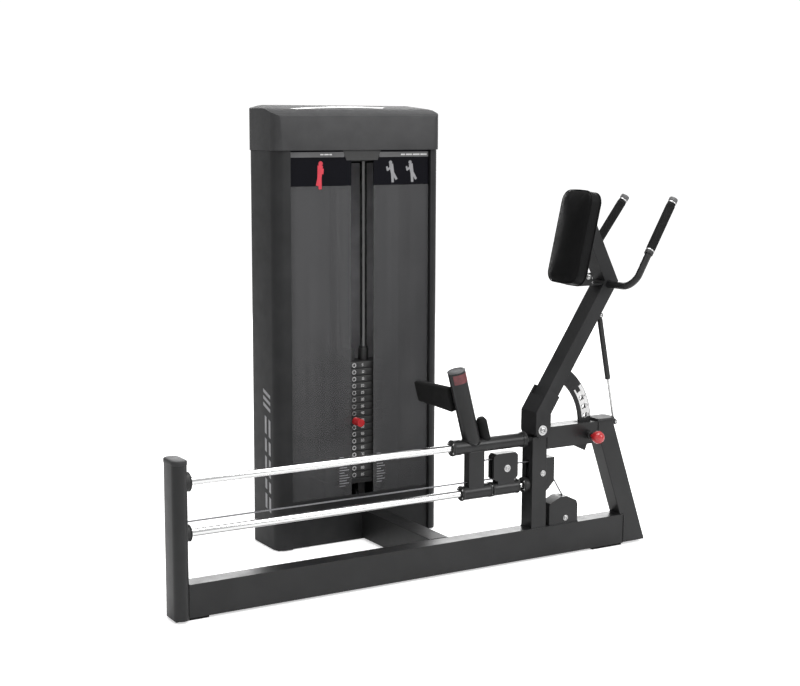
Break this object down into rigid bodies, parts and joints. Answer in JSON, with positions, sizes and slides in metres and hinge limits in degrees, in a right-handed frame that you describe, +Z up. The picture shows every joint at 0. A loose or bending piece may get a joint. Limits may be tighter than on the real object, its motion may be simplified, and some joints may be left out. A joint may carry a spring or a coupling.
{
  "type": "rear kick machine",
  "caption": "Standing rear-kick gym machine: a foot carriage slides on guide rods and lifts a shrouded weight stack by cable, with a tilting chest-pad arm and handlebar",
  "frame": {"origin": "centre of the bounding box's base, on the floor", "axes": "+X along the main rail from the end post to the rear leg, +Y across to the weight tower, +Z up"},
  "size_m": [1.8388, 0.8682, 1.555],
  "materials": {
    "frame_paint": "charcoal powder coat, fine texture",
    "arm_paint": "charcoal powder coat, slightly lighter",
    "chrome": "polished hard chrome",
    "cover": "dark grey fine-grained shroud",
    "cap": "dark grey moulded cap",
    "smoked": "smoked see-through panel",
    "header": "black placard panel",
    "plate_iron": "black painted weight plates",
    "steel": "bright steel",
    "cable": "stranded steel cable",
    "nylon": "black nylon",
    "rubber": "black rubber",
    "leather": "black upholstery",
    "red": "red moulded knob"
  },
  "bodies": {
    "frame": {"main_rail": "frame_paint", "end_post": "frame_paint", "rail_foot_left": "rubber", "rail_foot_right": "rubber", "front_column": "frame_paint", "top_beam": "frame_paint", "rear_leg": "frame_paint", "beam_end_cap": "cover", "upper_guide_rod": "chrome", "lower_guide_rod": "chrome", "upper_rod_collar": "nylon", "lower_rod_collar": "nylon", "lower_rod_socket": "nylon", "column_pulley_guard": "frame_paint", "base_pulley_cover": "frame_paint", "link_tube": "frame_paint", "tower_base": "frame_paint", "left_side_cover": "cover", "right_side_cover": "cover", "top_cover": "cap", "back_cover": "cover", "left_shield": "smoked", "right_shield": "smoked", "skirt_panel": "cover", "header_panel": "header", "stack_rod_left": "chrome", "stack_rod_right": "chrome", "resting_plates": "plate_iron", "top_crossmember": "frame_paint", "lift_cable": "cable", "press_cable_lower": "cable", "drive_cable": "cable", "stack_cable": "cable"},
    "foot_carriage": {"carriage_sleeve": "frame_paint", "carriage_web": "frame_paint", "foot_post": "frame_paint", "foot_plate": "rubber", "heel_stop": "rubber", "press_cable_upper": "cable"},
    "pulley_slider": {"slider_housing": "frame_paint"},
    "press_wheel": {"press_pulley": "nylon"},
    "column_wheel": {"column_pulley": "nylon"},
    "base_wheel": {"base_pulley": "nylon"},
    "corner_wheel": {"corner_pulley": "nylon"},
    "tower_foot_wheel": {"tower_foot_pulley": "nylon"},
    "tower_head_wheel": {"tower_head_pulley": "nylon"},
    "lifted_stack": {"lifted_plates": "plate_iron", "selector_stem": "plate_iron"},
    "stack_selector": {"selector_pin": "red"},
    "pad_arm": {"arm_bracket": "arm_paint", "arm_tube": "arm_paint", "quadrant": "arm_paint", "chest_pad": "leather", "pad_board": "frame_paint", "handlebar": "frame_paint", "near_grip": "rubber", "far_grip": "rubber"},
    "gas_barrel": {"gas_cylinder": "nylon"},
    "gas_piston": {"gas_rod": "steel"},
    "position_pin": {"pull_pin": "red"}
  },
  "joints": [
    {"name": "carriage_slide", "type": "slide", "parent": "frame", "child": "foot_carriage", "axis": [-1, 0, 0], "range_m": [0, 0.84], "deforming": ["press_cable_lower", "press_cable_upper", "drive_cable", "stack_cable"]},
    {"name": "slider_slide", "type": "slide", "parent": "frame", "child": "pulley_slider", "axis": [-1, 0, 0], "range_m": [0, 0.42]},
    {"name": "stack_lift", "type": "slide", "parent": "frame", "child": "lifted_stack", "axis": [0, 0, 1], "range_m": [0, 0.42]},
    {"name": "press_wheel_spin", "type": "hinge", "parent": "pulley_slider", "child": "press_wheel", "pos_m": [0.30255, -0.2659, 0.335], "axis": [0, -1, 0], "range_deg": [0, 712]},
    {"name": "column_wheel_spin", "type": "hinge", "parent": "frame", "child": "column_wheel", "pos_m": [0.44255, -0.2659, 0.304], "axis": [0, -1, 0], "range_deg": [0, 606]},
    {"name": "base_wheel_spin", "type": "hinge", "parent": "frame", "child": "base_wheel", "pos_m": [0.54655, -0.2659, 0.133], "axis": [0, -1, 0], "range_deg": [0, 577]},
    {"name": "corner_wheel_spin", "type": "hinge", "parent": "frame", "child": "corner_wheel", "pos_m": [0.06555, -0.2409, 0.091], "axis": [0, 0, 1], "range_deg": [0, 967]},
    {"name": "tower_foot_wheel_spin", "type": "hinge", "parent": "frame", "child": "tower_foot_wheel", "pos_m": [0.04055, 0.3281, 0.137], "axis": [-1, 0, 0], "range_deg": [0, 527]},
    {"name": "tower_head_wheel_spin", "type": "hinge", "parent": "frame", "child": "tower_head_wheel", "pos_m": [0.00255, 0.3281, 1.31], "axis": [-1, 0, 0], "range_deg": [0, 527]},
    {"name": "selector_pin_slide", "type": "slide", "parent": "lifted_stack", "child": "stack_selector", "axis": [0, -1, 0], "range_m": [0, 0.065]},
    {"name": "arm_tilt", "type": "hinge", "parent": "frame", "child": "pad_arm", "pos_m": [0.42755, -0.2659, 0.458], "axis": [0, 1, 0], "range_deg": [0, 17.6]},
    {"name": "gas_barrel_swing", "type": "hinge", "parent": "pad_arm", "child": "gas_barrel", "pos_m": [0.69555, -0.2659, 0.831], "axis": [0, 1, 0], "range_deg": [-1.7, 0.2]},
    {"name": "gas_piston_slide", "type": "slide", "parent": "gas_barrel", "child": "gas_piston", "axis": [-0.1917, 0, 0.9815], "range_m": [0, 0.108]},
    {"name": "position_pin_pull", "type": "slide", "parent": "frame", "child": "position_pin", "axis": [0, -1, 0], "range_m": [-0.0105, 0.003]}
  ],
  "couplings": [
    {"joint": "slider_slide", "follows": "carriage_slide", "ratio": 0.5},
    {"joint": "stack_lift", "follows": "carriage_slide", "ratio": 0.5},
    {"joint": "press_wheel_spin", "follows": "carriage_slide", "rad_per_m": 14.706},
    {"joint": "column_wheel_spin", "follows": "carriage_slide", "rad_per_m": 12.5},
    {"joint": "base_wheel_spin", "follows": "carriage_slide", "rad_per_m": 11.905},
    {"joint": "corner_wheel_spin", "follows": "carriage_slide", "rad_per_m": 20},
    {"joint": "tower_foot_wheel_spin", "follows": "carriage_slide", "rad_per_m": 10.87},
    {"joint": "tower_head_wheel_spin", "follows": "carriage_slide", "rad_per_m": 10.87},
    {"joint": "gas_barrel_swing", "follows": "arm_tilt", "ratio": -0.085},
    {"joint": "gas_piston_slide", "follows": "arm_tilt", "m_per_rad": 0.341}
  ]
}
